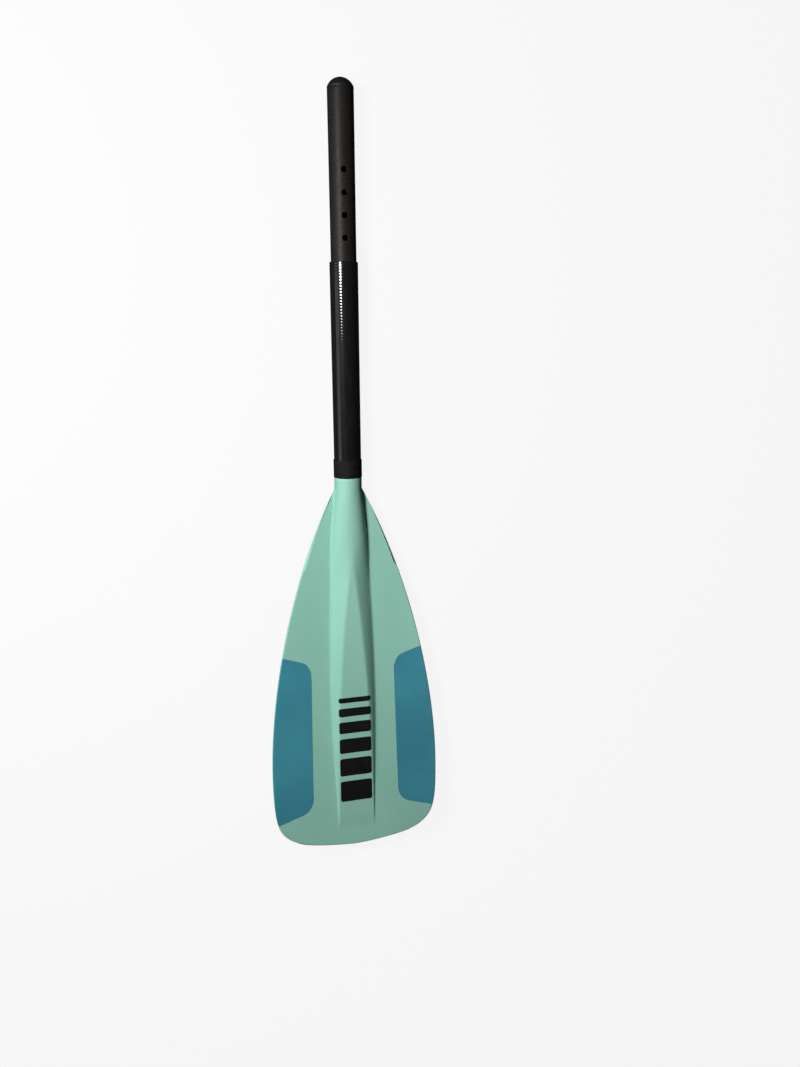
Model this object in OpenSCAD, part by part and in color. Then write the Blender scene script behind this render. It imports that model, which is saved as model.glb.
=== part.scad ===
// Single blade paddle section: a scooped moulded blade on a short 29 mm shaft, with a 26 mm spigot
// that plugs into another shaft. The shaft axis is Y, the origin is the shoulder where the spigot
// leaves the shaft, +Y points out of the spigot and +Z is the side that the blade is scooped towards.

/* [Spigot] */
// Outside diameter of the spigot
spigot_od = 26; // [25:0.5:27]
// Length of spigot that shows above the shaft
spigot_len = 159; // [120:1:180]
// Wall of the spigot and of the shaft
tube_wall = 1.5; // [1.2:0.1:2]
// Length of spigot bonded inside the shaft
bonded_len = 70; // [60:1:80]
// Index holes in the spigot
hole_count = 4; // [1:1:4]
// Diameter of an index hole
hole_d = 5.5; // [4:0.5:7]
// Spacing of the index holes
hole_pitch = 21; // [15:1:25]
// First index hole, from the shoulder
first_hole = 22; // [18:1:30]

/* [Shaft] */
// Length of the shaft from the shoulder to the blade
shaft_len = 220; // [180:1:260]
// Length of the collar over the shaft's end
collar_len = 19; // [10:1:30]
// Wall of the collar
collar_wall = 0.7; // [0.5:0.1:1.5]
// Length of the joiner inside the shaft
joiner_up = 60; // [40:1:70]
// Length of the joiner inside the blade
joiner_down = 94; // [60:1:94]

/* [End plug] */
// Height of the plug's domed head
plug_head = 10; // [6:0.5:12]
// Length of the plug's stem inside the spigot
plug_stem = 20; // [15:1:30]

/* [Blade] */
// Blade length, from the collar to the tip
blade_len = 441; // [400:1:460]
// Width of the blade at its widest
blade_w = 193; // [180:1:200]
// Thickness of the blade outside its spine
blade_t = 3.2; // [2.5:0.1:4]
// How far the tip stands forward of the shaft axis
spoon = 16.8; // [10:0.1:25]
// How deep the face would be dished at full width beside the neck
dish = 12; // [5:0.5:25]

/* [Spine] */
// Half width of the spine's foot at its widest
foot_half = 25.5; // [24:0.5:29]
// Half width of the spine's flat top at its end
crest_half = 20.5; // [18:0.5:21]
// Distance from the collar at which the spine runs out
spine_end = 416; // [405:1:425]

/* [Colour fields] */
// Thickness of the coloured films
film = 0.3; // [0.2:0.05:0.6]
// Bars in the mark on the spine
bar_count = 6; // [3:1:6]
// Half width of the mark
bar_half = 18.5; // [15:0.5:22]

/* [Hidden] */
$fn = 96;
glue = 0.2;                                    // bond line on the radius
snug = 0.05;                                   // gap round a part that is only pushed in
spigot_r = spigot_od / 2;
bore_r = spigot_r - tube_wall;                 // inside of the spigot
shaft_r = spigot_r + tube_wall;                // outside of the shaft
neck_r = shaft_r + 0.2;                        // outside of the blade's neck
half_w = blade_w / 2;
neck_edge = 0.3;                               // thickness of the sheet where it grows out of the neck
spoon_bend = 1.8;                              // power of the distance at which the spoon bends forward
dish_loss = 0.65;                              // share of the dish that is lost from the neck to the tip
flare = 12.5;                                  // plain round neck before the blade widens
wings = 45;                                    // distance by which the wings stand clear of the spine
tube_part = 100;                               // length of blade whose spine keeps its full height
run_out = 0.75;                                // how evenly it falls from there to its end: 1 is a straight line
foot_to = 260;                                 // distance at which the spine's foot is widest
foot_in = 3.5;                                 // how much the foot narrows from there to its end
box_from = 60;                                 // distances over which the round spine turns into
box_to = 130;                                  // one with a flat top
crest_from = 85;                               // where the flat top starts
crest_to = 400;                                // where it has its full width
flank = 0.4;                                   // how much steeper a flank is at its foot than on average
back_from = 150;                               // the spine on the back keeps its depth up to here
back_flat = 340;                               // and has gone here
lift = 0.05;                                   // bond line under a film

mint = [0.60, 0.80, 0.73];
teal = [0.27, 0.52, 0.58];
black = [0.13, 0.13, 0.14];

// Blade outline as [half width, distance from the collar]: the side, then the corner of the tip
side = [[neck_r, flare], [0.75 * half_w, 0.277 * blade_len],
        [half_w, 0.585 * blade_len], [half_w, 0.79 * blade_len]];
corner = [side[3], [half_w, 0.918 * blade_len], [0.963 * half_w, 0.944 * blade_len],
          [0.708 * half_w, 0.9735 * blade_len]];
tip_half = corner[3][0];
tip_drop = blade_len - corner[3][1];

// Colour fields beside the spine, as [half width, distance from the collar] of their inner corners
field_top = [47.5, 211];
field_bottom = [51, 390];
field_outer = [199, 401];                      // where the field meets the outline
field_round = 14;                              // radius of the inner corners
mark_from = 252;
mark_to = 383;
bar_first = 26;                                // the first bar is the longest
bar_step = 4;                                  // each next bar is this much shorter

function mix(a, b, t) = a + (b - a) * t;
function unit(t) = min(1, max(0, t));
function ease(from, to, x) = let (t = unit((x - from) / (to - from))) t * t * (3 - 2 * t);
function swell(from, to, x) = 1 - pow(1 - unit((x - from) / (to - from)), 2);
function bezier(p, t) = pow(1 - t, 3) * p[0] + 3 * pow(1 - t, 2) * t * p[1]
                        + 3 * (1 - t) * t * t * p[2] + pow(t, 3) * p[3];
function find_t(p, s, lo = 0, hi = 1, n = 20) =
    let (m = (lo + hi) / 2)
    n == 0 ? m : bezier(p, m)[1] < s ? find_t(p, s, m, hi, n - 1) : find_t(p, s, lo, m, n - 1);
function half_width(s) = s < side[0][1] ? side[0][0]
                       : s < side[3][1] ? bezier(side, find_t(side, s))[0]
                       : bezier(corner, find_t(corner, s))[0];
// Distance the tip's edge stands back from the end of the blade, v from the middle
function tip_back(v) = let (r = abs(v) / tip_half) tip_drop * (0.8 * pow(r, 1.6) + 0.2 * pow(r, 8));

// Heights over the shaft axis, v from the middle and s from the collar
function dished(v, s) = dish * (1 - dish_loss * s / blade_len) * pow(v / half_w, 2);
function sheet(v, s) = spoon * pow(s / blade_len, spoon_bend) + dished(v, s);
function thick(s) = mix(neck_edge, blade_t, ease(5, 40, s));
function foot(s) = mix(neck_r, foot_half, swell(flare, foot_to, s))
    - foot_in * ease(foot_to, spine_end, s);
function crest(s) = crest_half * swell(crest_from, crest_to, s);
function squared(s) = ease(box_from, box_to, s);
function round_over(v, s) = sqrt(max(0, 1 - pow(v / foot(s), 2)));
function ramp(v, s) = let (t = unit((foot(s) - abs(v)) / (foot(s) - crest(s)))) t + flank * t * (1 - t);
function spine_rise(s) = let (full = neck_r - sheet(0, min(s, tube_part)))
    full * pow(unit((spine_end - s) / (spine_end - tube_part)), run_out);
function spine(v, s) = mix(round_over(v, s), ramp(v, s), squared(s));
function face(v, s) = sheet(v, s) + spine_rise(s) * spine(v, s);
function back(v, s) = sheet(v, s) - thick(s)
    - (neck_r + sheet(0, s) - thick(s)) * (1 - ease(back_from, back_flat, s)) * spine(v, s);

function place(v, s, z) = [v, -shaft_len - s, z];

// Columns across half of the blade: all round the neck, and further on over the spine and out to the edge
spine_cols = 8;
wing_cols = 7;
cols = spine_cols + wing_cols;
function winged(j, s, w) =
    let (f = foot(s), c = crest(s), h = spine_cols / 2)
    j > spine_cols ? mix(f, w, (j - spine_cols) / wing_cols)
    : mix(f * sin(90 * j / spine_cols), j < h ? c * j / h : mix(c, f, (j - h) / h), squared(s));
function column(j, s, w) = mix(w * sin(90 * j / cols), winged(j, s, w), ease(flare, wings, s));
// Rows along the blade, each the [half width, distance] of its end on the outline
rows = concat([for (s = [0, 4, 8]) [side[0][0], s]],
              [for (i = [0 : 27]) bezier(side, i / 28)],
              [for (i = [0 : 9]) bezier(corner, i / 9)]);
// Rows bend towards the tip's curve as they come near it
function bent(v, row) = let (g = pow(max(0, row[1] - side[0][1]) / (corner[3][1] - side[0][1]), 6))
    row[1] + g * (tip_drop - tip_back(tip_half * v / row[0]));
function ring(row) =
    let (vs = [for (j = [-cols : cols]) sign(j) * column(abs(j), row[1], row[0])], n = len(vs))
    concat([for (v = vs) place(v, bent(v, row), face(v, bent(v, row)))],
           [for (i = [n - 1 : -1 : 0]) place(vs[i], bent(vs[i], row), back(vs[i], bent(vs[i], row)))]);

module blade_skin() {
    rings = [for (row = rows) ring(row)];
    n = len(rings[0]);
    last = (len(rings) - 1) * n;
    around = [for (i = [0 : len(rings) - 2]) for (j = [0 : n - 1])
        let (k = (j + 1) % n) each [[i * n + j, i * n + k, (i + 1) * n + k],
                                    [i * n + j, (i + 1) * n + k, (i + 1) * n + j]]];
    tip = [for (j = [0 : n / 2 - 2]) each [[last + j, last + j + 1, last + n - 2 - j],
                                           [last + j, last + n - 2 - j, last + n - 1 - j]]];
    polyhedron(points = [for (r = rings) each r],
               faces = concat([[for (j = [n - 1 : -1 : 0]) j]], around, tip), convexity = 6);
}

// A thin film that lies on the blade's face, over a grid of [v, s] points
module film_on_face(grid) {
    n = len(grid[0]);
    all = [for (row = grid) each row];
    m = len(all);
    under = [for (p = all) place(p[0], p[1], face(p[0], p[1]) + lift)];
    over = [for (p = under) p + [0, 0, film]];
    r = len(grid) - 1;
    quads = [for (i = [0 : r - 1]) for (j = [0 : n - 2])
        let (a = i * n + j) [a, a + 1, a + n + 1, a + n]];
    rim = concat([for (j = [0 : n - 1]) j], [for (i = [1 : r]) i * n + n - 1],
                 [for (j = [n - 2 : -1 : 0]) r * n + j], [for (i = [r - 1 : -1 : 1]) i * n]);
    faces = concat([for (q = quads) each [[q[0] + m, q[1] + m, q[2] + m], [q[0] + m, q[2] + m, q[3] + m]]],
                   [for (q = quads) each [[q[2], q[1], q[0]], [q[3], q[2], q[0]]]],
                   [for (k = [0 : len(rim) - 1]) let (a = rim[k], b = rim[(k + 1) % len(rim)])
                       each [[a, b, b + m], [a, b + m, a + m]]]);
    polyhedron(points = concat(under, over), faces = faces, convexity = 4);
}

// Colour field on the +X side: out from the inner edge to the outline, with rounded inner corners
field_cols = 12;
field_rows = 24;
function field_point(i, j) =
    let (q = j * j / (field_cols * field_cols),
         gap = half_w - field_bottom[0], d = min(field_round, q * gap),
         trim = (field_round - sqrt(field_round * field_round - pow(field_round - d, 2))),
         t = mix(trim, field_bottom[1] - field_top[1] - trim, i / field_rows)
             / (field_bottom[1] - field_top[1]),
         inner = mix(field_top, field_bottom, t), s = mix(field_outer[0], field_outer[1], t))
    mix(inner, [half_width(s), s], q);

module colour_field() {
    film_on_face([for (i = [0 : field_rows]) [for (j = [0 : field_cols]) field_point(i, j)]]);
}

module bar(s0, s1) {
    function bar_cols(s) = let (c = crest(s))
        [-bar_half, -mix(c, bar_half, 0.5), -c, -c / 2, 0, c / 2, c, mix(c, bar_half, 0.5), bar_half];
    film_on_face([for (t = [0 : 0.25 : 1]) let (s = mix(s0, s1, t)) [for (v = bar_cols(s)) [v, s]]]);
}

// A solid turned about the shaft axis, from a profile of [radius, distance along +Y]
module turned(profile) {
    rotate([-90, 0, 0]) rotate_extrude() polygon(profile);
}

module pipe(outer, inner, from, to) {
    turned([[inner, from], [outer, from], [outer, to], [inner, to]]);
}

module blade() {
    color(mint) difference() {
        blade_skin();
        turned([[0, -shaft_len - joiner_down - 1], [spigot_r, -shaft_len - joiner_down - 1],
                [spigot_r, -shaft_len + 1], [0, -shaft_len + 1]]);
    }
}

module right_panel() {
    color(teal) colour_field();
}

module left_panel() {
    color(teal) mirror([1, 0, 0]) colour_field();
}

module spine_mark() {
    lengths = [for (i = [0 : bar_count - 1]) bar_first - i * bar_step];
    gap = (mark_to - mark_from - lengths * [for (l = lengths) 1]) / (bar_count - 1);
    color(black) for (i = [0 : bar_count - 1]) {
        before = i == 0 ? 0 : [for (k = [0 : i - 1]) lengths[k]] * [for (k = [0 : i - 1]) 1];
        s = mark_to - before - i * gap;
        bar(s - lengths[i], s);
    }
}

module joiner_tube() {
    outer = spigot_r - glue;
    wall = 2;
    color("dimgray") pipe(outer, outer - wall, -shaft_len - joiner_down, -shaft_len + joiner_up);
}

module collar() {
    inner = shaft_r + 0.02;                    // it grips the shaft
    outer = shaft_r + collar_wall;
    bevel = 0.25;
    low = -shaft_len;
    high = -shaft_len + collar_len;
    color(black) turned([[inner, low], [outer - bevel, low], [outer, low + bevel],
                         [outer, high - bevel], [outer - bevel, high], [inner, high]]);
}

module lower_tube() {
    color(black) pipe(shaft_r, spigot_r, -shaft_len, 0);
}

module foam_bung() {
    r = bore_r - snug;
    low = -25;
    high = 14;                                 // below the first index hole
    color("gainsboro") turned([[0, low], [r, low], [r, high], [0, high]]);
}

module index_hole(y) {
    rim = 0.5;                                 // broken edge round the hole
    translate([0, y, 0]) {
        cylinder(r = hole_d / 2, h = spigot_od);
        translate([0, 0, spigot_r - 0.4]) cylinder(r1 = hole_d / 2, r2 = hole_d / 2 + rim + 0.1, h = 0.6);
    }
}

module spigot_tube() {
    color(black) difference() {
        turned([[bore_r, -bonded_len], [spigot_r - glue, -bonded_len], [spigot_r - glue, 0],
                [spigot_r, 0], [spigot_r, spigot_len], [bore_r, spigot_len]]);
        for (i = [0 : hole_count - 1]) index_hole(first_hole + i * hole_pitch);
    }
}

module end_plug() {
    stem_r = bore_r - 0.2;
    rib_r = bore_r - snug;
    rib = 2;                                   // length of each sealing rib
    low = spigot_len - plug_stem;
    ribs = [for (y = [low + 2 : 5 : spigot_len - 5])
        each [[stem_r, y], [rib_r, y + rib / 2], [rib_r, y + rib], [stem_r, y + rib]]];
    lip = 1.5;                                 // straight edge under the dome
    high = plug_head - lip;
    dome_r = (spigot_r * spigot_r + high * high) / (2 * high);
    arc = asin(spigot_r / dome_r);
    dome = [for (i = [0 : 16]) let (a = arc * (1 - i / 16))
        [dome_r * sin(a), spigot_len + plug_head - dome_r * (1 - cos(a))]];
    color(black) turned(concat([[0, low], [stem_r - 0.8, low], [stem_r, low + 0.8]], ribs,
                               [[stem_r, spigot_len], [spigot_r, spigot_len]], dome));
}

blade();
left_panel();
right_panel();
spine_mark();
joiner_tube();
collar();
lower_tube();
foam_bung();
spigot_tube();
end_plug();
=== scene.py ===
import math

import bmesh
import bpy
from bpy.props import FloatProperty, FloatVectorProperty, IntProperty, PointerProperty
from mathutils import Euler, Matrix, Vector


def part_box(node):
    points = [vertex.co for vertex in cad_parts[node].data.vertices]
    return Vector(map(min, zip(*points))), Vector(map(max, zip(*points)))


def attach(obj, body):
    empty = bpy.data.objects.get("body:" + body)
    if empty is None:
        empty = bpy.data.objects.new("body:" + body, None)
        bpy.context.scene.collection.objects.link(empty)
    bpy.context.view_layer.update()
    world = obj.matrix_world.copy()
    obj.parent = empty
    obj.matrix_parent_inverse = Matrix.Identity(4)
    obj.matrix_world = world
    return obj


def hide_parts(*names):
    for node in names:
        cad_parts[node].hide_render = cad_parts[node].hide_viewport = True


bl_info = {
    "name": "Single blade paddle section",
    "version": (1, 0, 0),
    "blender": (4, 5, 0),
    "location": "View3D > Sidebar > Paddle",
    "description": "Builds a scooped paddle blade on a short shaft with a plug-in spigot",
    "category": "Object",
}

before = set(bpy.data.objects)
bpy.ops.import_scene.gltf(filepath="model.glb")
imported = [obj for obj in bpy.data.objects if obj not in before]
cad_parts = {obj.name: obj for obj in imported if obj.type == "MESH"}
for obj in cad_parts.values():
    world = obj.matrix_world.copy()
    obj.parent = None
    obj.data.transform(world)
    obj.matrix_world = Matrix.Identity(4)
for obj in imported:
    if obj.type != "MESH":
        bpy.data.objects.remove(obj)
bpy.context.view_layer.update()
MM = 0.001
FINISH = "_finish"                             # ends the names of the materials made here


def edge(node, side, axis):
    """One coordinate of a frame node's box: side 0 is the lowest corner and 1 the highest."""
    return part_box(node)[side][axis]


def length(name, description, default, low=0.0, high=2.0):
    """A size in metres for a settings group."""
    return FloatProperty(name=name, description=description, default=default, min=low, max=high,
                         precision=5, unit="LENGTH", subtype="DISTANCE")


def colour(name, description, default):
    """A colour for a settings group."""
    return FloatVectorProperty(name=name, description=description, default=default, min=0.0, max=1.0,
                               size=3, subtype="COLOR")


class BladeSettings(bpy.types.PropertyGroup):
    """Sizes of the blade, from the end of the shaft to the tip"""
    top: length("Neck", "Height of the neck's open end on the shaft axis", edge("collar", 0, 1), -1.0)
    long: length("Length", "From the neck's open end to the tip",
                 edge("collar", 0, 1) - edge("blade", 0, 1))
    wide: length("Width", "Width at the widest", edge("blade", 1, 0) - edge("blade", 0, 0))
    thick: length("Thickness", "Thickness of the wings", 3.2 * MM)
    neck: length("Neck radius", "Outside radius of the neck", edge("lower_tube", 1, 0) + 0.2 * MM)
    socket: length("Socket radius", "Radius of the socket in the neck", 13 * MM)
    socket_deep: length("Socket depth", "Depth of the socket in the neck", 95 * MM)
    spoon: length("Spoon", "How far the tip stands forward of the shaft axis", 16.8 * MM)
    dish: length("Dish", "How deep the face would be dished at full width beside the neck", 12 * MM)
    foot: length("Spine foot", "Half width of the spine's foot at its widest", 25.5 * MM)
    crest: length("Spine crest", "Half width of the spine's flat top at its end", 20.5 * MM)
    spine_end: length("Spine end", "Distance from the neck's end at which the spine runs out", 416 * MM)
    flank: FloatProperty(name="Flank",
                         description="How much steeper a flank is at its foot than on average",
                         default=0.4, min=0.0, max=0.95)
    run_out: FloatProperty(name="Run out", description="How evenly the spine falls to its end: 1 is a line",
                           default=0.75, min=0.2, max=2.0)
    soften: length("Spine softening", "Half width of the rounding on the spine's edges", 1.8 * MM)
    rim: length("Rim rounding", "Radius on the blade's edge", 1.4 * MM)


class FieldSettings(bpy.types.PropertyGroup):
    """Sizes of the coloured fields and of the mark on the spine"""
    inner_top: length("Upper corner", "Half width at the fields' upper inner corner", 47.5 * MM)
    inner_low: length("Lower corner", "Half width at the fields' lower inner corner", 51 * MM)
    top: length("Upper inner end", "Distance from the neck's end to the upper inner corner", 211 * MM)
    low: length("Lower inner end", "Distance from the neck's end to the lower inner corner", 390 * MM)
    outer_top: length("Upper outer end", "Distance at which the upper edge meets the outline", 199 * MM)
    outer_low: length("Lower outer end", "Distance at which the lower edge meets the outline", 401 * MM)
    corner: length("Corner radius", "Radius of the fields' inner corners", 14 * MM)
    film: length("Film", "Thickness of the films", 0.3 * MM)
    lift: length("Bond line", "Bond line under the films", 0.05 * MM)
    mark_half: length("Mark width", "Half width of the mark's bars", 18.5 * MM)
    mark_from: length("Mark start", "Distance from the neck's end to the mark", 252 * MM)
    mark_to: length("Mark end", "Distance from the neck's end to the far end of the mark", 383 * MM)
    bar_first: length("First bar", "Length of the longest bar, nearest the tip", 26 * MM)
    bar_step: length("Bar step", "How much shorter each next bar is", 4 * MM)
    bars: IntProperty(name="Bars", description="Number of bars in the mark", default=6, min=1, max=9)


class ShaftSettings(bpy.types.PropertyGroup):
    """Sizes of the shaft, its collar and its spigot"""
    radius: length("Shaft radius", "Outside radius of the shaft", edge("lower_tube", 1, 0))
    spigot: length("Spigot radius", "Outside radius of the spigot", edge("end_plug", 1, 0))
    bore: length("Bore radius", "Inside radius of the spigot", 11.5 * MM)
    bonded: length("Bonded length", "Length of spigot inside the shaft", -edge("spigot_tube", 0, 1))
    spigot_long: length("Spigot length", "Length of spigot that shows", edge("spigot_tube", 1, 1))
    hole: length("Hole radius", "Radius of the index holes", 2.75 * MM)
    hole_rim: length("Hole rim", "Width of the broken edge round a hole", 0.6 * MM)
    first_hole: length("First hole", "Distance of the first index hole from the shoulder", 22 * MM)
    pitch: length("Hole pitch", "Spacing of the index holes", 21 * MM)
    holes: IntProperty(name="Holes", description="Number of index holes", default=4, min=1, max=6)
    winding: length("Winding pitch", "Pitch of the tape marks left on the shaft", 2.9 * MM)
    winding_deep: length("Winding depth", "Depth of the tape marks", 0.05 * MM)


class FinishSettings(bpy.types.PropertyGroup):
    """Colours of the finishes"""
    mint: colour("Mint", "Colour of the moulded blade", (0.268, 0.552, 0.446))
    mint_pale: colour("Pale mint", "Lighter tone of the moulded blade", (0.298, 0.588, 0.482))
    teal: colour("Teal", "Colour of the side fields", (0.054, 0.276, 0.350))
    teal_deep: colour("Deep teal", "Darker tone of the side fields", (0.044, 0.230, 0.305))
    black: colour("Black", "Colour of the mark's film", (0.006, 0.006, 0.007))
    gloss: colour("Shaft black", "Colour of the glossy shaft", (0.0055, 0.0055, 0.0058))
    satin: colour("Spigot grey", "Colour of the satin spigot", (0.0110, 0.0096, 0.0083))
    rubber: colour("Collar black", "Colour of the collar", (0.0060, 0.0060, 0.0062))
    plug: colour("Plug black", "Colour of the end plug", (0.0085, 0.0080, 0.0078))
    fibre: colour("Fibre", "Colour of the bare fibre joiner", (0.020, 0.020, 0.022))
    foam: colour("Foam", "Colour of the foam bung", (0.62, 0.60, 0.55))


class StudioSettings(bpy.types.PropertyGroup):
    """Floor, lights and camera"""
    floor_tone: FloatProperty(name="Floor tone", description="Brightness of the floor's paper",
                              default=0.05, min=0.0, max=1.0, subtype="FACTOR")
    key: FloatProperty(name="Key light", description="Power of the light at the upper left", default=12.8,
                       min=0.0, max=500.0, unit="POWER")
    low: FloatProperty(name="Low light", description="Power of the soft light low on the left", default=1.6,
                       min=0.0, max=500.0, unit="POWER")
    ambient: FloatProperty(name="Ambient", description="Strength of the light all round", default=0.03,
                           min=0.0, max=5.0)
    lens: FloatProperty(name="Lens", description="Focal length", default=26.99, min=10.0, max=200.0,
                        subtype="DISTANCE_CAMERA")


# ---- Shape of the blade ----------------------------------------------------------------------

def mix(a, b, t):
    return a + (b - a) * t


def unit(t):
    return min(1.0, max(0.0, t))


def ease(start, end, x):
    t = unit((x - start) / (end - start))
    return t * t * (3 - 2 * t)


def swell(start, end, x):
    return 1 - (1 - unit((x - start) / (end - start))) ** 2


def soft_unit(t, e):
    """unit() with its two corners rounded over a half width of e."""
    if t > 0.5:
        return 1 - soft_unit(1 - t, e)
    return 0.0 if t <= -e else (t + e) ** 2 / (4 * e) if t < e else t


def bezier(points, t):
    weights = ((1 - t) ** 3, 3 * (1 - t) ** 2 * t, 3 * (1 - t) * t * t, t ** 3)
    return tuple(sum(w * p[i] for w, p in zip(weights, points)) for i in (0, 1))


def steps(start, end, count):
    """count + 1 evenly spaced numbers from start to end."""
    return [mix(start, end, i / count) for i in range(count + 1)]


class BladeShape:
    """The blade's outline and heights. v is measured across from the middle, and s along from the
    neck's open end to the tip. Heights are over the shaft axis, towards the scooped side."""

    FLARE = 12.5 * MM                          # plain round neck before the blade widens
    WINGS = 45 * MM                            # distance by which the wings stand clear of the spine
    SIDE = ((0.75, 0.277), (1, 0.585), (1, 0.79))           # outline, as shares of half width and length
    CORNER = ((1, 0.918), (0.963, 0.944), (0.708, 0.9735))  # and round the corner to the tip
    SPOON_BEND = 1.8                           # power of the distance at which the spoon bends forward
    DISH_LOSS = 0.65                           # share of the dish that is lost from the neck to the tip
    NECK_EDGE = 0.3 * MM                       # thickness of the sheet where it grows out of the neck
    THICKENS = (5 * MM, 40 * MM)               # distances over which it reaches its full thickness
    TUBE_PART = 100 * MM                       # length of blade whose spine keeps its full height
    FOOT_WIDEST = 260 * MM                     # distance at which the spine's foot is widest
    FOOT_IN = 3.5 * MM                         # how much the foot narrows from there to its end
    SQUARES = (60 * MM, 130 * MM)              # where the round spine turns into one with a flat top
    CREST_WIDENS = (85 * MM, 400 * MM)         # where the flat top starts and has its full width
    BACK_FADES = (150 * MM, 340 * MM)          # where the spine on the back starts to fade and has gone
    FILLET_FROM = 0.97                         # share of the foot where a round spine's fillet begins
    FILLET_FULL = 60 * MM                      # distance at which that fillet is complete
    SOFTEST = 0.45                             # largest share of a flank that its rounding takes
    TIP_CURVE = ((0.8, 1.6), (0.2, 8))         # shares and powers that make the curve of the tip
    TIP_REACH = 6                              # power at which the rows take up that curve
    HALVINGS = 26                              # steps of the search for a place on the outline
    NECK_ROWS, SIDE_ROWS, CORNER_ROWS = 5, 96, 16

    def __init__(self, sizes):
        self.z = sizes
        half, long = sizes.wide / 2, sizes.long
        self.half = half
        self.side = [(sizes.neck, self.FLARE)] + [(a * half, b * long) for a, b in self.SIDE]
        self.corner = self.side[3:] + [(a * half, b * long) for a, b in self.CORNER]
        self.tip_half = self.corner[3][0]
        self.tip_drop = long - self.corner[3][1]

    def half_width(self, s):
        if s < self.FLARE:
            return self.z.neck
        curve = self.side if s < self.side[3][1] else self.corner
        low, high = 0.0, 1.0
        for _ in range(self.HALVINGS):
            middle = (low + high) / 2
            low, high = (middle, high) if bezier(curve, middle)[1] < s else (low, middle)
        return bezier(curve, low)[0]

    def tip_back(self, v):
        """How far the tip's edge stands back at v: a soft curve that tightens near its ends."""
        r = abs(v) / self.tip_half
        return self.tip_drop * sum(share * r ** power for share, power in self.TIP_CURVE)

    def sheet(self, v, s):
        share = s / self.z.long
        dish = self.z.dish * (1 - self.DISH_LOSS * share)
        return self.z.spoon * share ** self.SPOON_BEND + dish * (v / self.half) ** 2

    def thick(self, s):
        return mix(self.NECK_EDGE, self.z.thick, ease(*self.THICKENS, s))

    def foot(self, s):
        return (mix(self.z.neck, self.z.foot, swell(self.FLARE, self.FOOT_WIDEST, s))
                - self.FOOT_IN * ease(self.FOOT_WIDEST, self.z.spine_end, s))

    def crest(self, s):
        return max(self.z.crest * swell(*self.CREST_WIDENS, s), self.z.soften)

    def squared(self, s):
        return ease(*self.SQUARES, s)

    def round_over(self, v, s):
        """Height of a round spine as a share of its rise, with a fillet beside it once the wings begin."""
        x, x0 = abs(v) / self.foot(s), self.FILLET_FROM
        sharp = math.sqrt(max(0.0, 1 - x * x))
        if x <= x0:
            return sharp
        height = math.sqrt(1 - x0 * x0)
        filleted = height * max(0.0, 1 - (x - x0) * x0 / (2 * height * height)) ** 2
        return mix(sharp, filleted, ease(self.FLARE, self.FILLET_FULL, s))

    def ramp(self, v, s):
        """Height of a flat-topped spine as a share of its rise. Its flanks steepen towards the foot."""
        wide = self.foot(s) - self.crest(s)
        t = soft_unit((self.foot(s) - abs(v)) / wide, min(self.SOFTEST, self.z.soften / wide))
        return t + self.z.flank * t * (1 - t)

    def spine_rise(self, s):
        full = self.z.neck - self.sheet(0, min(s, self.TUBE_PART))
        left = unit((self.z.spine_end - s) / (self.z.spine_end - self.TUBE_PART))
        return full * left ** self.z.run_out

    def spine(self, v, s):
        return mix(self.round_over(v, s), self.ramp(v, s), self.squared(s))

    def face(self, v, s):
        return self.sheet(v, s) + self.spine_rise(s) * self.spine(v, s)

    def back(self, v, s):
        deep = self.z.neck + self.sheet(0, s) - self.thick(s)
        fade = 1 - ease(*self.BACK_FADES, s)
        return self.sheet(v, s) - self.thick(s) - deep * fade * self.spine(v, s)

    def rim_drop(self, gap):
        """How far the rounded rim falls below the face, at a distance of gap in from the outline."""
        r = self.z.rim
        return r - math.sqrt(max(0.0, r * r - max(0.0, r - gap) ** 2))

    def place(self, v, s, height):
        return (v, self.z.top - s, height)

    def column(self, t, s, w):
        """Place across the blade of the line that is t of the way from the middle to the outline. Lines
        gather on both sides of the spine's two bends, so that these stay crisp."""
        to_crest, past_crest, to_foot, spine_share = 0.16, 0.30, 0.44, 0.58
        around_neck = w * math.sin(t * math.pi / 2)
        f, c, e = self.foot(s), self.crest(s), self.z.soften
        if t > spine_share:
            winged = mix(f + e * self.squared(s), w, (t - spine_share) / (1 - spine_share))
        else:
            inner, outer = mix(c, f, 0.4), mix(c, f, 0.6)
            knots = ((0, 0), (to_crest, c - e), (past_crest, min(c + e, inner)),
                     (to_foot, max(f - e, outer)), (spine_share, f + e))
            for (t0, v0), (t1, v1) in zip(knots, knots[1:]):
                if t <= t1:
                    flat_top = mix(v0, v1, (t - t0) / (t1 - t0))
                    break
            round_top = f * math.sin(t / spine_share * math.pi / 2)
            winged = mix(round_top, flat_top, self.squared(s))
        return mix(around_neck, winged, ease(self.FLARE, self.WINGS, s))

    def rows(self):
        """Half width and distance at the outline of each row along the blade."""
        neck = [(self.z.neck, s) for s in steps(0, self.FLARE, self.NECK_ROWS)[:-1]]
        side = [bezier(self.side, t) for t in steps(0, 1, self.SIDE_ROWS)[:-1]]
        return neck + side + [bezier(self.corner, t) for t in steps(0, 1, self.CORNER_ROWS)]

    def bent(self, v, row):
        """Distance of a point on a row, which bends to the tip's curve as it comes near it."""
        start, end = self.FLARE, self.corner[3][1]
        near = (max(0.0, row[1] - start) / (end - start)) ** self.TIP_REACH
        return row[1] + near * (self.tip_drop - self.tip_back(self.tip_half * v / row[0]))


# ---- Mesh helpers ----------------------------------------------------------------------------

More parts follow.
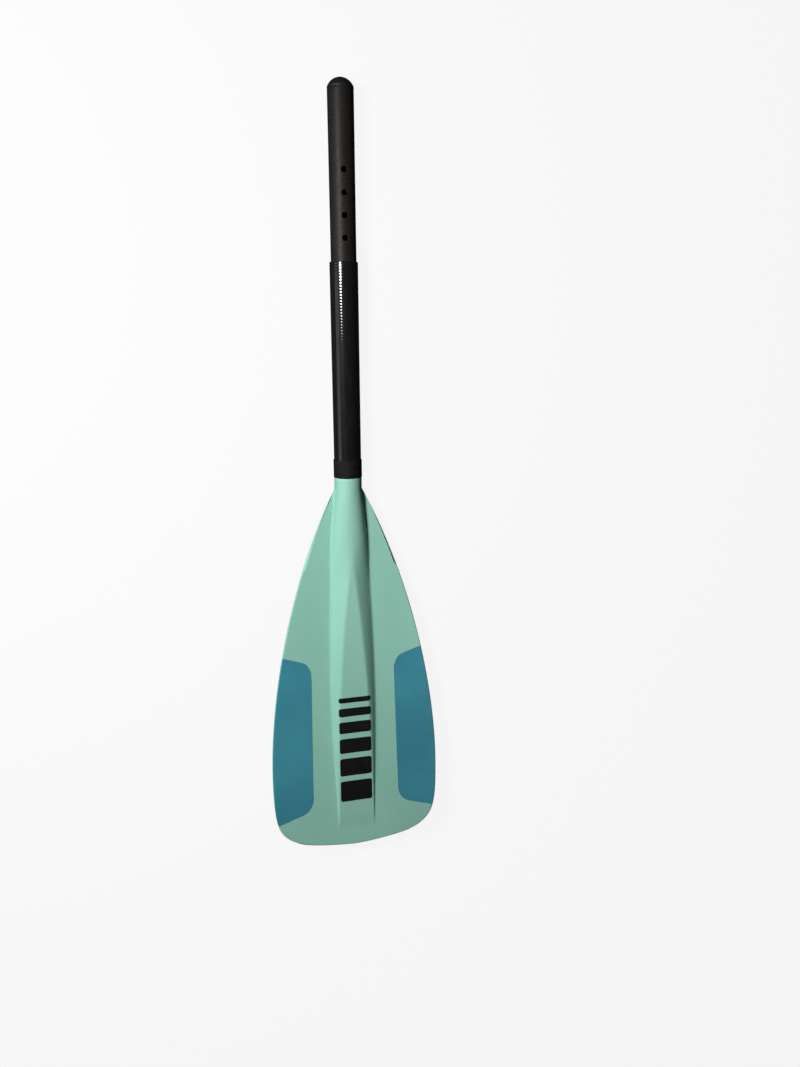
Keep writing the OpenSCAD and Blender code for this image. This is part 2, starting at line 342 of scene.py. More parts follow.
def piece_from(name, points, faces, finish, sharp=(), rim=None):
    """A smooth-shaded mesh piece on the root body. sharp holds vertex pairs whose edges stay crisp,
    and rim maps vertex pairs to the share of a bevel that their edges take."""
    mesh = bpy.data.meshes.new(name)
    mesh.from_pydata(points, [], faces)
    bm = bmesh.new()
    bm.from_mesh(mesh)
    bmesh.ops.recalc_face_normals(bm, faces=bm.faces)
    for face in bm.faces:
        face.smooth = True
    crisp = {frozenset(pair) for pair in sharp}
    weight = bm.edges.layers.float.new("bevel_weight_edge")
    for e in bm.edges:
        key = frozenset(v.index for v in e.verts)
        if key in crisp:
            e.smooth = False
        if rim and key in rim:
            e[weight] = rim[key]
    bm.to_mesh(mesh)
    bm.free()
    mesh.materials.append(finish)
    obj = bpy.data.objects.new(name, mesh)
    bpy.context.scene.collection.objects.link(obj)
    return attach(obj, "root")


def welded(name, quads, finish, crisp_angle=35):
    """A piece from loose faces, each a list of points: equal points are joined, and edges that turn
    more than crisp_angle degrees stay crisp."""
    index, points, faces = {}, [], []
    for quad in quads:
        face = []
        for p in quad:
            key = tuple(round(c * 1e7) for c in p)
            if key not in index:
                index[key] = len(points)
                points.append(tuple(p))
            if index[key] not in face:
                face.append(index[key])
        if len(face) > 2:
            faces.append(face)
    obj = piece_from(name, points, faces, finish)
    bm = bmesh.new()
    bm.from_mesh(obj.data)
    for e in bm.edges:
        if len(e.link_faces) == 2 and e.calc_face_angle(0) > math.radians(crisp_angle):
            e.smooth = False
    bm.to_mesh(obj.data)
    bm.free()
    return obj


def turned(name, profile, finish, segments=128, crisp_angle=35, radius=None):
    """A closed profile of (radius, distance) turned about the shaft axis. radius(r, y, angle) can
    change the radius of a point."""
    def at(point, k):
        angle = math.tau * (k % segments) / segments
        r = radius(point[0], point[1], angle) if radius else point[0]
        return (r * math.sin(angle), point[1], r * math.cos(angle))

    quads = []
    for i, p in enumerate(profile):
        q = profile[(i + 1) % len(profile)]
        if p[0] == 0 and q[0] == 0:
            continue
        for k in range(segments):
            quads.append([at(p, k), at(q, k), at(q, k + 1), at(p, k + 1)])
    return welded(name, quads, finish, crisp_angle)


def rounded(profile, radii, arc=5):
    """A closed profile with some of its corners rounded. radii maps a corner's index to its radius."""
    out = []
    for i, p in enumerate(profile):
        r = radii.get(i)
        if not r:
            out.append(p)
            continue
        corner = Vector(p)
        before = (Vector(profile[i - 1]) - corner).normalized()
        after = (Vector(profile[(i + 1) % len(profile)]) - corner).normalized()
        for t in steps(0, 1, arc):
            a, b = corner + before * r, corner + after * r
            out.append(tuple((1 - t) ** 2 * a + 2 * t * (1 - t) * corner + t * t * b))
    return out


# ---- Finishes --------------------------------------------------------------------------------

class Finish:
    """A node material under construction, with one Principled shader."""

    def __init__(self, name, **constants):
        self.material = bpy.data.materials.new(name + FINISH)
        self.material.use_nodes = True
        self.tree = self.material.node_tree
        self.shader = self.tree.nodes["Principled BSDF"]
        for socket, value in constants.items():
            self.shader.inputs[socket.replace("_", " ").title().replace("Ior", "IOR")].default_value = value
        self.place = self.node("ShaderNodeTexCoord").outputs["Object"]

    def node(self, kind, links=None, values=None, **settings):
        made = self.tree.nodes.new(kind)
        for name, value in settings.items():
            setattr(made, name, value)
        for name, value in (values or {}).items():
            made.inputs[name].default_value = value
        for name, source in (links or {}).items():
            self.tree.links.new(source, made.inputs[name])
        return made

    def stretched(self, x, y, z):
        """Object space, scaled on each axis."""
        scaled = self.node("ShaderNodeMapping", {"Vector": self.place}, {"Scale": (x, y, z)})
        return scaled.outputs["Vector"]

    def noise(self, scale, detail=3.0, roughness=0.5, where=None):
        values = {"Scale": scale, "Detail": detail, "Roughness": roughness}
        return self.node("ShaderNodeTexNoise", {"Vector": where or self.place}, values).outputs["Fac"]

    def band(self, source, low, high, to_low=0.0, to_high=1.0):
        """source between low and high, spread over to_low to to_high."""
        values = {"From Min": low, "From Max": high, "To Min": to_low, "To Max": to_high}
        return self.node("ShaderNodeMapRange", {"Value": source}, values).outputs["Result"]

    def maths(self, operation, a, b):
        links, values = {}, {}
        for i, term in enumerate((a, b)):
            (values if isinstance(term, (int, float)) else links)[i] = term
        return self.node("ShaderNodeMath", links, values, operation=operation).outputs[0]

    def blend(self, factor, a, b):
        """Colour a where factor is 0 and b where it is 1. Each is a colour or a socket."""
        made = self.node("ShaderNodeMix", data_type="RGBA")
        self.tree.links.new(factor, made.inputs["Factor"])
        for socket, value in zip((made.inputs[6], made.inputs[7]), (a, b)):
            if isinstance(value, bpy.types.NodeSocket):
                self.tree.links.new(value, socket)
            else:
                socket.default_value = (*value, 1)
        return made.outputs[2]

    def coloured(self, source):
        self.tree.links.new(source, self.shader.inputs["Base Color"])
        return self

    def rough(self, source, low, high):
        """Roughness from low to high over the middle of a noise."""
        self.tree.links.new(self.band(source, 0.35, 0.65, low, high), self.shader.inputs["Roughness"])
        return self

    def bumped(self, source, depth, under=None):
        links = {"Height": source}
        if under:
            links["Normal"] = under
        made = self.node("ShaderNodeBump", links, {"Distance": depth, "Strength": 1.0})
        self.tree.links.new(made.outputs["Normal"], self.shader.inputs["Normal"])
        return made.outputs["Normal"]


def tint(base, factor):
    """A colour made lighter or darker."""
    return tuple(min(1.0, c * factor) for c in base)


def moulded_mint(c):
    """Fine-grained moulded plastic with faint flow tones; convex edges paler: painted edge highlight and
    rubbed wear.
    """
    f = Finish("mint_moulding", specular_ior_level=0.42)
    flow = f.band(f.noise(9, 2, where=f.stretched(1.6, 0.6, 1.6)), 0.35, 0.65)
    body = f.blend(flow, c.mint, c.mint_pale)
    grain = f.noise(1500, 2)
    body = f.blend(f.band(grain, 0.40, 0.75, 0.0, 0.35), body, tint(c.mint, 0.86))
    # convex edges are made paler: a painted edge highlight as well as rubbed wear
    edge_highlight_and_wear = f.band(f.node("ShaderNodeNewGeometry").outputs["Pointiness"], 0.515, 0.56, 0.0, 0.5)
    f.coloured(f.blend(edge_highlight_and_wear, body, tint(c.mint_pale, 1.12)))
    f.rough(f.noise(60, 4), 0.40, 0.52)
    scuffs = f.bumped(f.noise(45, 6, 0.65), 0.00008)
    f.bumped(grain, 0.000015, scuffs)
    return f.material


def teal_film(c):
    """Satin printed film, a little deeper in tone in places."""
    f = Finish("teal_film", specular_ior_level=0.40)
    cloud = f.band(f.noise(14, 3), 0.35, 0.65)
    body = f.blend(cloud, c.teal, c.teal_deep)
    streak = f.noise(240, 2, where=f.stretched(6, 0.25, 1))
    f.coloured(f.blend(f.band(streak, 0.55, 0.8, 0.0, 0.25), body, tint(c.teal, 1.25)))
    f.rough(f.noise(90, 4), 0.36, 0.50)
    f.bumped(f.noise(1300, 2), 0.00001)
    return f.material


def black_film(c):
    """Printed black film with fine scuffs."""
    f = Finish("black_film", specular_ior_level=0.35)
    scuff = f.band(f.noise(180, 5, 0.7), 0.58, 0.75, 0.0, 0.6)
    f.coloured(f.blend(scuff, c.black, tint(c.black, 3.0)))
    f.rough(f.noise(120, 4), 0.38, 0.55)
    f.bumped(f.noise(1400, 2), 0.00001)
    return f.material


def gloss_shaft(c):
    """Clear-coated fibre: long fibre streaks under a wet gloss."""
    f = Finish("gloss_shaft", coat_weight=1.0, coat_roughness=0.05, coat_ior=1.36, specular_ior_level=0.05)
    fibres = f.noise(260, 3, 0.6, where=f.stretched(9, 0.22, 9))
    f.coloured(f.blend(f.band(fibres, 0.42, 0.72), c.gloss, tint(c.gloss, 2.2)))
    f.rough(fibres, 0.28, 0.50)
    f.bumped(f.noise(70, 4, where=f.stretched(1, 0.5, 1)), 0.00006)
    return f.material


def satin_spigot(c):
    """Sanded fibre tube: fine turning marks across it, and lengthwise rubbing from sliding in and out."""
    f = Finish("satin_spigot", specular_ior_level=0.14)
    turning = f.noise(330, 3, 0.6, where=f.stretched(0.15, 7, 0.15))
    body = f.blend(f.band(turning, 0.35, 0.70), c.satin, tint(c.satin, 1.55))
    rubbed = f.noise(210, 4, 0.6, where=f.stretched(5, 0.12, 5))
    f.coloured(f.blend(f.band(rubbed, 0.60, 0.80, 0.0, 0.6), body, tint(c.satin, 2.4)))
    f.rough(turning, 0.42, 0.58)
    rubbed_bump = f.bumped(rubbed, 0.00003)
    f.bumped(turning, 0.00003, rubbed_bump)
    return f.material


def collar_sleeve(c):
    """Matt sleeve with a fine moulded texture."""
    f = Finish("collar_sleeve", specular_ior_level=0.1)
    patch = f.noise(160, 4)
    f.coloured(f.blend(f.band(patch, 0.35, 0.70), c.rubber, tint(c.rubber, 1.9)))
    f.rough(patch, 0.62, 0.80)
    f.bumped(f.noise(1100, 3), 0.00005)
    return f.material


def plug_plastic(c):
    """Moulded plastic with a fine spark texture."""
    f = Finish("plug_plastic", specular_ior_level=0.25)
    grain = f.noise(900, 3)
    f.coloured(f.blend(f.band(grain, 0.40, 0.70), c.plug, tint(c.plug, 1.7)))
    f.rough(f.noise(130, 3), 0.42, 0.58)
    f.bumped(grain, 0.00004)
    return f.material


def bare_fibre(c):
    """Woven fibre: two sets of tows that pass over and under each other."""
    f = Finish("bare_fibre", specular_ior_level=0.55)
    tows = {"Scale": 520 / math.tau}
    across = f.node("ShaderNodeTexWave", {"Vector": f.place}, tows, bands_direction="X")
    along = f.node("ShaderNodeTexWave", {"Vector": f.place}, tows, bands_direction="Y")
    weave = f.maths("MAXIMUM", across.outputs["Fac"], along.outputs["Fac"])
    f.coloured(f.blend(weave, tint(c.fibre, 0.5), tint(c.fibre, 1.8)))
    f.rough(f.maths("SUBTRACT", across.outputs["Fac"], along.outputs["Fac"]), 0.30, 0.55)
    f.bumped(weave, 0.00015)
    return f.material


def cell_foam(c):
    """Closed-cell foam."""
    f = Finish("foam", roughness=0.9, specular_ior_level=0.2)
    cells = f.node("ShaderNodeTexVoronoi", {"Vector": f.place}, {"Scale": 900.0}).outputs["Distance"]
    f.coloured(f.blend(f.band(cells, 0.0, 0.7), tint(c.foam, 0.7), c.foam))
    f.bumped(cells, 0.0004)
    return f.material


FINISHES = {
    "mint_moulding": moulded_mint, "teal_film": teal_film, "black_film": black_film,
    "gloss_shaft": gloss_shaft, "satin_spigot": satin_spigot, "collar_sleeve": collar_sleeve,
    "plug_plastic": plug_plastic, "bare_fibre": bare_fibre, "foam": cell_foam,
}


def finish(slot):
    """The finish for a slot, made the first time it is asked for."""
    return bpy.data.materials.get(slot + FINISH) or FINISHES[slot](bpy.context.scene.paddle_finish)


def stands_for(node):
    """Hides the frame node whose place a new piece takes."""
    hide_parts(node)


# ---- Operators -------------------------------------------------------------------------------

class PADDLE_OT_blade(bpy.types.Operator):
    """Build the scooped blade with its neck, socket and tapering spine"""
    bl_idname = "paddle.blade"
    bl_label = "Blade"
    bl_options = {"REGISTER", "UNDO"}

    HALF_COLUMNS = 50

    def execute(self, context):
        shape = BladeShape(context.scene.paddle_blade)
        n = self.HALF_COLUMNS
        points, rows = [], shape.rows()
        for row in rows:
            halves = [shape.column(j / n, row[1], row[0]) for j in range(n + 1)]
            across = [-v for v in reversed(halves[1:])] + halves
            along = [shape.bent(v, row) for v in across]
            points += [shape.place(v, s, shape.face(v, s)) for v, s in zip(across, along)]
            points += [shape.place(v, s, shape.back(v, s))
                       for v, s in zip(reversed(across), reversed(along))]
        one_side = 2 * n + 1
        around = 2 * one_side
        last = (len(rows) - 1) * around
        faces = [[i * around + j, i * around + (j + 1) % around,
                  (i + 1) * around + (j + 1) % around, (i + 1) * around + j]
                 for i in range(len(rows) - 1) for j in range(around)]
        faces += [[last + j, last + j + 1, last + around - 2 - j, last + around - 1 - j]
                  for j in range(one_side - 1)]
        rim = {}
        for i, row in enumerate(rows[1:]):
            share = shape.thick(row[1]) / shape.z.thick if row[1] > shape.WINGS / 2 else 0.0
            for j in (0, one_side - 1, one_side, around - 1):
                rim[frozenset((i * around + j, (i + 1) * around + j))] = share
        for j in range(one_side - 1):
            rim[frozenset((last + j, last + j + 1))] = 1.0
            rim[frozenset((last + one_side + j, last + one_side + j + 1))] = 1.0
        sharp = self.add_socket(shape, points, faces, around)
        blade = piece_from("blade_moulding", points, faces, finish("mint_moulding"), sharp, rim)
        bevel = blade.modifiers.new("rim", "BEVEL")
        bevel.limit_method = "WEIGHT"
        bevel.width = shape.z.rim
        bevel.segments = 4
        bevel.use_clamp_overlap = False
        stands_for("blade")
        return {"FINISHED"}

    def add_socket(self, shape, points, faces, around):
        """Adds the flat ring at the neck's end and the socket behind it. Returns its crisp edges."""
        mouth = len(points)
        for depth in (0.0, shape.z.socket_deep):
            for x, _, z in points[:around]:
                scale = shape.z.socket / math.hypot(x, z)
                points.append((x * scale, shape.z.top - depth, z * scale))
        sharp = []
        for j in range(around):
            k = (j + 1) % around
            faces.append([k, j, mouth + j, mouth + k])
            faces.append([mouth + k, mouth + j, mouth + around + j, mouth + around + k])
            sharp += [(j, k), (mouth + j, mouth + k), (mouth + around + j, mouth + around + k)]
        faces.append([mouth + around + j for j in range(around)])
        return sharp


def film_on_face(name, shape, grid, slot):
    """A thin film on the blade's face, over a grid of (v, s, drop) points."""
    settings = bpy.context.scene.paddle_field
    rows, wide = len(grid), len(grid[0])
    flat = [p for row in grid for p in row]
    under = [shape.place(v, s, shape.face(v, s) - drop + settings.lift) for v, s, drop in flat]
    over = [(x, y, z + settings.film) for x, y, z in under]
    size = len(flat)
    faces = []
    for i in range(rows - 1):
        for j in range(wide - 1):
            a = i * wide + j
            quad = [a, a + 1, a + wide + 1, a + wide]
            faces.append([k + size for k in quad])
            faces.append(quad[::-1])
    rim = (list(range(wide)) + [i * wide + wide - 1 for i in range(1, rows)]
           + [(rows - 1) * wide + j for j in range(wide - 2, -1, -1)]
           + [i * wide for i in range(rows - 2, 0, -1)])
    pairs = list(zip(rim, rim[1:] + rim[:1]))
    faces += [[a, b, b + size, a + size] for a, b in pairs]
    sharp = pairs + [(a + size, b + size) for a, b in pairs]
    obj = piece_from(name, under + over, faces, finish(slot), sharp)
    return obj


class PADDLE_OT_fields(bpy.types.Operator):
    """Lay the two coloured fields beside the spine"""
    bl_idname = "paddle.fields"
    bl_label = "Colour fields"
    bl_options = {"REGISTER", "UNDO"}

    EDGE_GAP = 0.45 * MM                       # film stops this far in from the outline, on the rounded rim

    def execute(self, context):
        shape, f = BladeShape(context.scene.paddle_blade), context.scene.paddle_field
        grid = self.field_grid(shape, f)
        right = film_on_face("right_field", shape, grid, "teal_film")
        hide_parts("right_panel")
        mirrored = [[(-v, s, drop) for v, s, drop in row] for row in grid]
        left = film_on_face("left_field", shape, mirrored, "teal_film")
        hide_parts("left_panel")
        return {"FINISHED"}

    def field_grid(self, shape, f):
        """From the rounded inner corners out to the blade's rim."""
        columns, rows, rim_columns = 30, 60, 5
        grid = []
        for i in range(rows + 1):
            row = []
            for j in range(columns + rim_columns + 1):
                gap_inside = shape.half - f.inner_low
                q = unit(j / columns) ** 2
                d = min(f.corner, q * gap_inside)
                trim = f.corner - math.sqrt(f.corner ** 2 - (f.corner - d) ** 2)
                run = f.low - f.top
                t = mix(trim, run - trim, i / rows) / run
                s = mix(f.outer_top, f.outer_low, t)
                inner = (mix(f.inner_top, f.inner_low, t), mix(f.top, f.low, t))
                width = shape.half_width(s)
                rim_start = (width - shape.z.rim, s)
                if j <= columns:
                    v, along = mix(inner[0], rim_start[0], q), mix(inner[1], rim_start[1], q)
                else:
                    past = (j - columns) / rim_columns
                    v, along = mix(rim_start[0], width - self.EDGE_GAP, past), s
                row.append((v, along, shape.rim_drop(width - v)))
            grid.append(row)
        return grid


class PADDLE_OT_mark(bpy.types.Operator):
    """Lay the graded bars of the mark on the spine"""
    bl_idname = "paddle.mark"
    bl_label = "Spine mark"
    bl_options = {"REGISTER", "UNDO"}

    ROUND = 2.5 * MM                           # radius of a bar's corners
    CORNER_STEPS, LENGTH_STEPS, WIDTH_STEPS = 6, 8, 48

    def execute(self, context):
        shape, f = BladeShape(context.scene.paddle_blade), context.scene.paddle_field
        lengths = [f.bar_first - i * f.bar_step for i in range(f.bars)]
        gap = (f.mark_to - f.mark_from - sum(lengths)) / max(1, f.bars - 1)
        s = f.mark_to
        for i, bar_length in enumerate(lengths):
            grid = self.bar_grid(f.mark_half, s - bar_length, s)
            bar = film_on_face(f"mark_bar_{i + 1}", shape, grid, "black_film")
            if i == 0:
                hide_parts("spine_mark")
            s -= bar_length + gap
        return {"FINISHED"}

    def bar_grid(self, half, start, end):
        """A bar across the spine, with rounded corners."""
        r = self.ROUND
        ends = [r * (1 - math.cos(t * math.pi / 2)) for t in steps(0, 1, self.CORNER_STEPS)]
        along = ([start + d for d in ends] + steps(start + r, end - r, self.LENGTH_STEPS)[1:-1]
                 + [end - d for d in reversed(ends)])
        grid = []
        for s in along:
            d = min(s - start, end - s, r)
            width = half - (r - math.sqrt(max(0.0, r * r - (r - d) ** 2)))
            grid.append([(v, s, 0.0) for v in steps(-width, width, self.WIDTH_STEPS)])
        return grid


class PADDLE_OT_collar(bpy.types.Operator):
    """Turn the matt collar over the joint of shaft and blade"""
    bl_idname = "paddle.collar"
    bl_label = "Collar"
    bl_options = {"REGISTER", "UNDO"}

    def execute(self, context):
        low, high = edge("collar", 0, 1), edge("collar", 1, 1)
        outer, inner = edge("collar", 1, 0), edge("lower_tube", 1, 0) + 0.02 * MM
        waist = 0.04 * MM                          # how much the sleeve draws in at its middle
        profile = [(inner, low), (outer, low)]
        profile += [(outer - waist * math.sin(math.pi * t) ** 2, mix(low, high, t))
                    for t in steps(0, 1, 24)[1:-1]]
        profile += [(outer, high), (inner, high)]
        profile = rounded(profile, {1: 0.35 * MM, len(profile) - 2: 0.45 * MM})
        collar = turned("collar_sleeve", profile, finish("collar_sleeve"))
        stands_for("collar")
        return {"FINISHED"}


class PADDLE_OT_shaft(bpy.types.Operator):
    """Turn the glossy shaft with the spiral marks of its winding tape"""
    bl_idname = "paddle.shaft"
    bl_label = "Shaft"
    bl_options = {"REGISTER", "UNDO"}

    ROWS_PER_TURN = 5                          # rows of faces for each turn of the tape
    MOUTH, MOUTH_EASE = 0.4 * MM, 0.12 * MM    # broken edge at the shoulder
    NICKS = ((-34 * MM, 0.166), (-59 * MM, 0.225))  # small dents, as distance and angle
    NICK_DEEP, NICK_LONG, NICK_WIDE = 0.3 * MM, 0.8 * MM, 1.3 * MM

    def execute(self, context):
        z = context.scene.paddle_shaft
        low, high = edge("lower_tube", 0, 1), edge("lower_tube", 1, 1)
        count = round((high - low) / z.winding * self.ROWS_PER_TURN)
        skin = [(z.radius, y) for y in steps(low, high - self.MOUTH, count)]
        mouth = [(z.radius - self.MOUTH_EASE, high - self.MOUTH_EASE), (z.radius - self.MOUTH, high)]
        profile = [(z.spigot, low)] + skin + mouth + [(z.spigot, high)]

        def wound(r, y, angle):
            """A shallow rounded step that climbs one pitch for each turn of the tape, and the dents."""
            if r < z.radius:
                return r
            turn = (y / z.winding + angle / math.tau) % 1.0
            dents = sum(math.exp(-((y - at) / self.NICK_LONG) ** 2
                                 - (r * (angle - bearing) / self.NICK_WIDE) ** 2)
                        for at, bearing in self.NICKS)
            tape_step = z.winding_deep * (0.5 + 0.5 * math.cos(math.tau * turn)) ** 2
            return r - tape_step - self.NICK_DEEP * dents

        shaft = turned("wound_shaft", profile, finish("gloss_shaft"), segments=96, radius=wound)
        stands_for("lower_tube")
        return {"FINISHED"}


class PADDLE_OT_spigot(bpy.types.Operator):
    """Build the satin spigot with its row of rimmed index holes"""
    bl_idname = "paddle.spigot"
    bl_label = "Spigot"
    bl_options = {"REGISTER", "UNDO"}

    SEGMENTS = 96                              # round the tube
    PATCH = 24                                 # segments round the tube that a hole's patch takes

    def execute(self, context):
        z = context.scene.paddle_shaft
        quads = []
        patch_low = z.first_hole - z.pitch / 2
        patch_high = patch_low + z.holes * z.pitch
        end = z.spigot_long
        bevel = 0.35 * MM
        bonded_r = edge("joiner_tube", 1, 0)
        skin = [(bonded_r, -z.bonded), (bonded_r, 0.0), (z.spigot, 0.0)]
        skin += [(z.spigot, y) for y in steps(0, patch_low, 6)[1:]]
        beyond = [(z.spigot, y) for y in steps(patch_high, end - bevel, 24)]
        beyond += [(z.spigot - 0.1 * MM, end - 0.1 * MM), (z.spigot - bevel, end), (z.bore, end)]
        bore_end = [(z.bore, y) for y in steps(end, patch_high, 2)]
        bore_start = [(z.bore, patch_low), (z.bore, -z.bonded), (bonded_r, -z.bonded)]
        for profile in (skin, beyond, bore_end, bore_start):
            for p, q in zip(profile, profile[1:]):
                quads += self.band(p, q, range(self.SEGMENTS))
        half = self.PATCH // 2
        plain = range(half, self.SEGMENTS - half)
        rows = steps(patch_low, patch_high, self.PATCH * z.holes)
        for r in (z.spigot, z.bore):
            for y0, y1 in zip(rows, rows[1:]):
                quads += self.band((r, y0), (r, y1), plain)
        for i in range(z.holes):
            quads += self.hole_patch(z, z.first_hole + i * z.pitch)
        spigot = welded("index_spigot", quads, finish("satin_spigot"))
        stands_for("spigot_tube")
        return {"FINISHED"}

    def on_tube(self, r, y, angle):
        return (r * math.sin(angle), y, r * math.cos(angle))

    def band(self, p, q, segments):
        """Faces round the tube between two (radius, distance) points."""
        step = math.tau / self.SEGMENTS
        return [[self.on_tube(p[0], p[1], k * step), self.on_tube(q[0], q[1], k * step),
                 self.on_tube(q[0], q[1], (k + 1) * step), self.on_tube(p[0], p[1], (k + 1) * step)]
                for k in segments]

    def hole_patch(self, z, centre):
        """A square patch of both skins with a rimmed hole through its middle."""
        n, half_angle = self.PATCH, math.pi * self.PATCH / self.SEGMENTS
        border = []
        for side in range(4):
            for i in range(n):
                a, b = (-1 + 2 * i / n, -1)
                for _ in range(side):
                    a, b = -b, a
                border.append((a * half_angle, centre + b * z.pitch / 2, math.atan2(b, a)))

        def ring(tube, radius, share):
            """Points share of the way in from the patch's border to a circle of that radius."""
            out = []
            for angle, y, turn in border:
                circle_angle = math.asin(radius * math.cos(turn) / tube)
                circle_y = centre + radius * math.sin(turn)
                out.append(self.on_tube(tube, mix(y, circle_y, share), mix(angle, circle_angle, share)))
            return out

        def lowered(radius, drop):
            return [(radius * math.cos(t), centre + radius * math.sin(t),
                     math.sqrt(z.spigot ** 2 - (radius * math.cos(t)) ** 2) - drop) for _, _, t in border]

        wide = z.hole + z.hole_rim
        rings = [ring(z.spigot, wide, share) for share in (0, 0.3, 0.55, 0.75, 0.9, 1.0)]
        for t in steps(0, 1, 5)[1:]:
            turn = t * math.pi / 2
            rings.append(lowered(wide - z.hole_rim * math.sin(turn), z.hole_rim * (1 - math.cos(turn))))
        rings += [ring(z.bore, z.hole, share) for share in (1.0, 0.8, 0.5, 0.0)]
        faces = []
        for outer, inner in zip(rings, rings[1:]):
            for i in range(4 * n):
                k = (i + 1) % (4 * n)
                faces.append([outer[i], outer[k], inner[k], inner[i]])
        return faces


class PADDLE_OT_plug(bpy.types.Operator):
    """Turn the domed plug in the spigot's end, with its sealing ribs"""
    bl_idname = "paddle.plug"
    bl_label = "End plug"
    bl_options = {"REGISTER", "UNDO"}

    def execute(self, context):
        z = context.scene.paddle_shaft
        low, high = edge("end_plug", 0, 1), edge("end_plug", 1, 1)
        shoulder = z.spigot_long
        stem, rib = z.bore - 0.2 * MM, z.bore - 0.05 * MM
        profile = [(0.0, low), (stem - 0.8 * MM, low), (stem, low + 0.8 * MM)]
        y, rib_pitch = low + 2 * MM, 5 * MM
        while y < shoulder - 4 * MM:
            profile += [(stem, y), (mix(stem, rib, 0.8), y + 0.4 * MM), (rib, y + MM),
                        (mix(stem, rib, 0.8), y + 1.6 * MM), (stem, y + 2 * MM)]
            y += rib_pitch
        lip = 1.5 * MM                             # straight edge under the dome
        head = high - shoulder - lip
        dome = (z.spigot ** 2 + head ** 2) / (2 * head)
        arc = math.asin(z.spigot / dome)
        profile += [(stem, shoulder), (z.spigot - 0.3 * MM, shoulder),
                    (z.spigot - 0.08 * MM, shoulder + 0.08 * MM), (z.spigot, shoulder + 0.3 * MM),
                    (z.spigot, shoulder + lip - 0.5 * MM)]
        for t in steps(1, 0, 28):
            r = dome * math.sin(arc * t)
            profile.append((r if t else 0.0, high - dome * (1 - math.cos(arc * t))))
        soft = next(i for i, p in enumerate(profile)
                    if p[1] >= shoulder + lip - 0.01 * MM and p[0] > stem)
        profile = rounded(profile, {soft: 0.45 * MM})
        plug = turned("domed_plug", profile, finish("plug_plastic"), segments=96, crisp_angle=50)
        stands_for("end_plug")
        return {"FINISHED"}


class PADDLE_OT_inner_parts(bpy.types.Operator):
    """Give the joiner and the foam bung inside the shaft their finishes"""
    bl_idname = "paddle.inner_parts"
    bl_label = "Inner parts"
    bl_options = {"REGISTER", "UNDO"}

    def execute(self, context):
        for node, slot in (("joiner_tube", "bare_fibre"), ("foam_bung", "foam")):
            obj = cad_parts[node]
            obj.data.materials.clear()
            obj.data.materials.append(finish(slot))
        return {"FINISHED"}


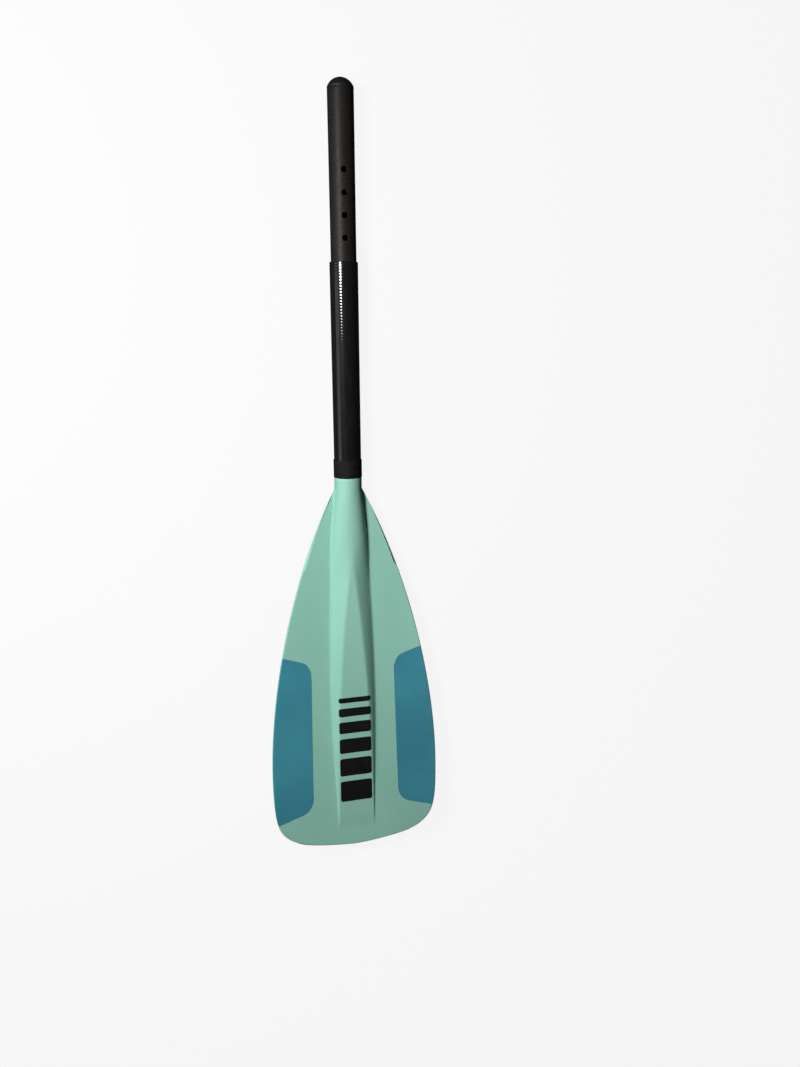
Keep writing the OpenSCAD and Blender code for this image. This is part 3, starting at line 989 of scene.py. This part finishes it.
class PADDLE_OT_stage(bpy.types.Operator):
    """Set the pale floor, the soft lights and the camera"""
    bl_idname = "paddle.stage"
    bl_label = "Studio"
    bl_options = {"REGISTER", "UNDO"}

    MIDDLE = (0.0, -0.34, 0.0)                 # the lights are aimed here
    KEY_PLACE, KEY_SIZE = (-0.59, 0.11, 0.73), (0.20, 0.26)
    LOW_PLACE, LOW_SIZE = (-1.10, -0.20, 0.30), (0.60, 0.60)
    CAMERA_PLACE = (-0.1506, -0.0691, 0.8412)
    CAMERA_TURN = (-14.06, -13.96, -0.22)      # degrees about X, Y and Z
    FLOOR_MIDDLE = -0.25
    FLAT, SWEEP, TALL = 3.0, 1.5, 5.0          # flat part, curve up and height of the floor's wall
    FLOOR_SEGMENTS = 64

    def execute(self, context):
        studio = context.scene.paddle_studio
        self.add_floor(studio)
        self.add_world(studio)
        self.add_light("key", studio.key, self.KEY_PLACE, self.KEY_SIZE)
        self.add_light("low", studio.low, self.LOW_PLACE, self.LOW_SIZE)
        camera = bpy.data.cameras.new("camera")
        camera.lens = studio.lens
        camera.sensor_width = 36.0
        camera.clip_start = 0.01
        view = bpy.data.objects.new("camera", camera)
        view.location = self.CAMERA_PLACE
        view.rotation_euler = Euler([math.radians(a) for a in self.CAMERA_TURN], "XYZ")
        context.scene.collection.objects.link(view)
        context.scene.camera = view
        context.scene.view_settings.view_transform = "Standard"
        return {"FINISHED"}

    def add_floor(self, studio):
        """A round floor that sweeps up into a wall on every side."""
        segments = self.FLOOR_SEGMENTS
        profile = [(self.FLAT * t, 0.0) for t in steps(0, 1, 6)[1:]]
        profile += [(self.FLAT + self.SWEEP * math.sin(turn), self.SWEEP * (1 - math.cos(turn)))
                    for turn in steps(0, math.pi / 2, 12)[1:]]
        profile.append((self.FLAT + self.SWEEP, self.TALL))
        points = [(0.0, 0.0, 0.0)]
        for r, z in profile:
            points += [(r * math.cos(turn), r * math.sin(turn), z)
                       for turn in steps(0, math.tau, segments)[:-1]]
        faces = [(0, 1 + k, 1 + (k + 1) % segments) for k in range(segments)]
        for i in range(len(profile) - 1):
            first = 1 + i * segments
            for k in range(segments):
                after = (k + 1) % segments
                faces.append((first + k, first + segments + k, first + segments + after, first + after))
        mesh = bpy.data.meshes.new("floor")
        mesh.from_pydata(points, [], faces)
        mesh.shade_smooth()
        floor = bpy.data.objects.new("floor", mesh)
        floor.location = (0, self.FLOOR_MIDDLE, edge("collar", 0, 2))
        bpy.context.scene.collection.objects.link(floor)
        f = Finish("floor_paper", roughness=0.9, specular_ior_level=0.0, emission_strength=0.9)
        f.shader.inputs["Emission Color"].default_value = (1, 1, 1, 1)
        tone = studio.floor_tone
        f.coloured(f.blend(f.noise(3, 2), (tone, tone, tone), (tone * 0.98,) * 3))
        mesh.materials.append(f.material)
        floor.visible_diffuse = False              # its glow doesn't light the paddle or show in its gloss
        floor.visible_glossy = False

    def add_world(self, studio):
        world = bpy.data.worlds.new("studio")
        world.use_nodes = True
        background = world.node_tree.nodes["Background"]
        background.inputs["Color"].default_value = (1, 1, 1, 1)
        background.inputs["Strength"].default_value = studio.ambient
        bpy.context.scene.world = world

    def add_light(self, name, power, place, size):
        lamp = bpy.data.lights.new(name, "AREA")
        lamp.shape = "RECTANGLE"
        lamp.size, lamp.size_y = size
        lamp.energy = power
        light = bpy.data.objects.new(name, lamp)
        light.location = place
        aim = Vector(self.MIDDLE) - Vector(place)
        light.rotation_euler = aim.to_track_quat("-Z", "Y").to_euler()
        bpy.context.scene.collection.objects.link(light)


class PADDLE_PT_panel(bpy.types.Panel):
    """Buttons and sizes of the paddle section"""
    bl_idname = "PADDLE_PT_panel"
    bl_label = "Paddle section"
    bl_space_type = "VIEW_3D"
    bl_region_type = "UI"
    bl_category = "Paddle"

    def draw(self, context):
        for operator in OPERATORS:
            self.layout.operator(operator.bl_idname)
        for name, group in SETTINGS.items():
            box = self.layout.box()
            settings = getattr(context.scene, name)
            for key in group.__annotations__:
                box.prop(settings, key)


OPERATORS = (PADDLE_OT_blade, PADDLE_OT_fields, PADDLE_OT_mark, PADDLE_OT_collar, PADDLE_OT_shaft,
             PADDLE_OT_spigot, PADDLE_OT_plug, PADDLE_OT_inner_parts, PADDLE_OT_stage)
SETTINGS = {"paddle_blade": BladeSettings, "paddle_field": FieldSettings, "paddle_shaft": ShaftSettings,
            "paddle_finish": FinishSettings, "paddle_studio": StudioSettings}


def register():
    for cls in (*SETTINGS.values(), *OPERATORS, PADDLE_PT_panel):
        bpy.utils.register_class(cls)
    for name, group in SETTINGS.items():
        setattr(bpy.types.Scene, name, PointerProperty(type=group))


def unregister():
    for name in SETTINGS:
        delattr(bpy.types.Scene, name)
    for cls in reversed((*SETTINGS.values(), *OPERATORS, PADDLE_PT_panel)):
        bpy.utils.unregister_class(cls)


def main():
    register()
    bpy.ops.paddle.blade()
    bpy.ops.paddle.fields()
    bpy.ops.paddle.mark()
    bpy.ops.paddle.collar()
    bpy.ops.paddle.shaft()
    bpy.ops.paddle.spigot()
    bpy.ops.paddle.plug()
    bpy.ops.paddle.inner_parts()
    bpy.ops.paddle.stage()


if __name__ == "__main__":
    main()
